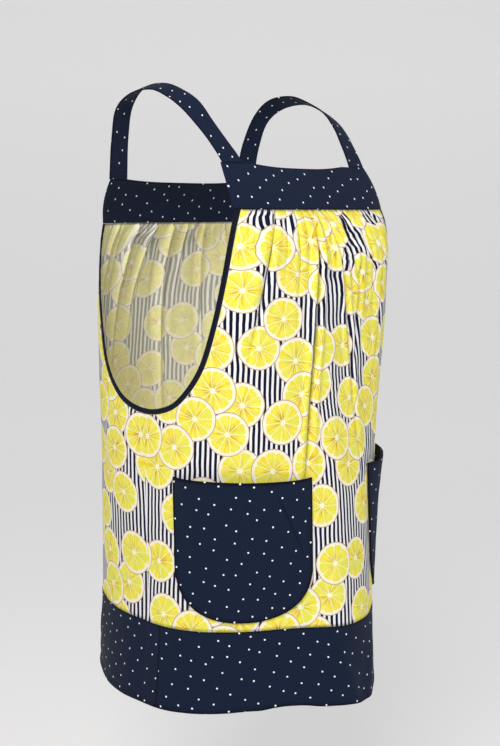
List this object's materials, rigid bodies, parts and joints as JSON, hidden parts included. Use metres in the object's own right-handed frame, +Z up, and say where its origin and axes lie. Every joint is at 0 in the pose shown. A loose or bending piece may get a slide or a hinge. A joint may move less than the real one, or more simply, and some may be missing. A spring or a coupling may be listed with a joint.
{
  "type": "cobbler apron",
  "caption": "Over-the-head cobbler apron with yoke and shoulder straps, gathered body, deep bound armholes, patch pockets and a wide hem band, in its worn form.",
  "frame": {"origin": "midway between the crests of the two shoulder straps, where the wearer's shoulders carry the garment", "axes": "+Z up along the body, -Y out of the wearer's front, +X to the wearer's left"},
  "size_m": [0.3775, 0.4157, 0.8159],
  "materials": {
    "dotted_cotton": "matte woven navy cotton with small white pin dots",
    "printed_cotton": "matte woven cotton printed with lemon slices over navy and white stripes",
    "bias_binding": "matte folded navy cotton tape"
  },
  "bodies": {
    "root": {"front_yoke": "dotted_cotton", "back_yoke": "dotted_cotton", "strap_left": "dotted_cotton", "strap_right": "dotted_cotton", "front_panel": "printed_cotton", "back_panel": "printed_cotton", "armhole_binding_left": "bias_binding", "armhole_binding_right": "bias_binding", "pocket_left": "dotted_cotton", "pocket_right": "dotted_cotton", "front_hem_band": "dotted_cotton", "back_hem_band": "dotted_cotton"}
  },
  "joints": []
}
